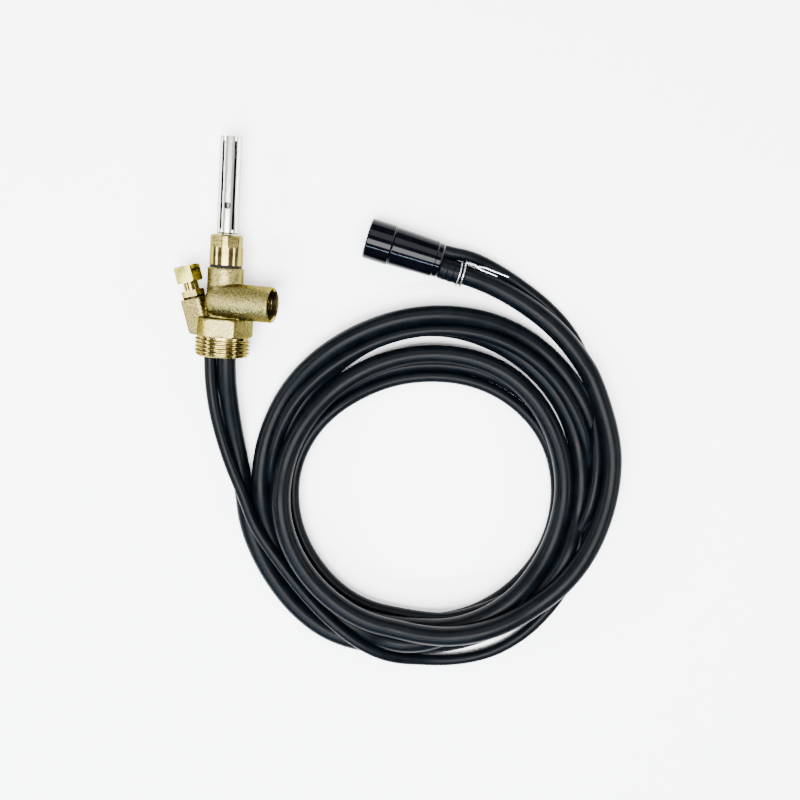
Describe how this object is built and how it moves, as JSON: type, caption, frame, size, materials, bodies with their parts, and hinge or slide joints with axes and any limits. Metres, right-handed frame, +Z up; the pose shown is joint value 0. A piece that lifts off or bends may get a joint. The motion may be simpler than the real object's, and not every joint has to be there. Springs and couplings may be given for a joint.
{
  "type": "tank withdrawal head with hoses",
  "caption": "Brass tank-top valve head with a side port, slotted guard tube and gauge fitting; a coiled suction hose and gauge hose end in a black sleeve.",
  "frame": {"origin": "centre of the tank thread's end face, on the head's axis", "axes": "+Y along the head's axis, away from the tank; +Z up from the surface that the head and the coil lie on; the side port points along +X"},
  "size_m": [0.2841, 0.3284, 0.0389],
  "materials": {
    "cast_brass": "sand cast, satin",
    "turned_brass": "machined, bright",
    "nut_brass": "drawn, bright",
    "bright_tube": "polished",
    "steel": "ground",
    "black_rubber": "matt",
    "hose_black": "semi-gloss",
    "sleeve_black": "gloss",
    "tie_wire": "bright drawn"
  },
  "bodies": {
    "head": {"valve_body": "cast_brass", "cap_plug": "turned_brass", "cap_seal_ring": "black_rubber", "guard_tube": "bright_tube", "spindle_o_ring": "black_rubber", "valve_spring": "steel", "suction_spigot": "turned_brass", "gauge_spigot": "turned_brass", "gauge_adapter": "turned_brass", "gauge_adapter_washer": "bright_tube", "suction_hose_head_lead": "hose_black", "gauge_hose_head_lead": "hose_black", "hose_coil": "hose_black", "suction_hose_end_lead": "hose_black", "gauge_hose_end_lead": "hose_black", "suction_hose_cuff": "hose_black", "sleeve_front_ring": "sleeve_black", "end_sleeve": "sleeve_black", "sleeve_strainer": "turned_brass", "sleeve_suction_spigot": "turned_brass", "sleeve_gauge_spigot": "turned_brass", "wire_tie": "tie_wire"},
    "valve_stem": {"spindle": "steel", "poppet_seal": "black_rubber", "poppet_disc": "turned_brass", "spindle_clip": "steel"},
    "ferrule": {"compression_ferrule": "turned_brass"},
    "nut": {"compression_nut": "nut_brass"}
  },
  "joints": [
    {"name": "spindle_lift", "type": "slide", "parent": "head", "child": "valve_stem", "axis": [0, 1, 0], "range_m": [0, 0.006], "stiffness_N_per_m": 600, "springref_m": -0.008, "deforming": ["valve_spring"]},
    {"name": "ferrule_slide", "type": "slide", "parent": "head", "child": "ferrule", "axis": [-0.2924, 0.9563, 0], "range_m": [0, 0.003]},
    {"name": "nut_turn", "type": "hinge", "parent": "ferrule", "child": "nut", "pos_m": [-0.02259, 0.04804, 0], "axis": [-0.2924, 0.9563, 0], "range_deg": [0, 1085]}
  ],
  "couplings": [
    {"joint": "nut_turn", "follows": "ferrule_slide", "rad_per_m": 6283.2}
  ]
}
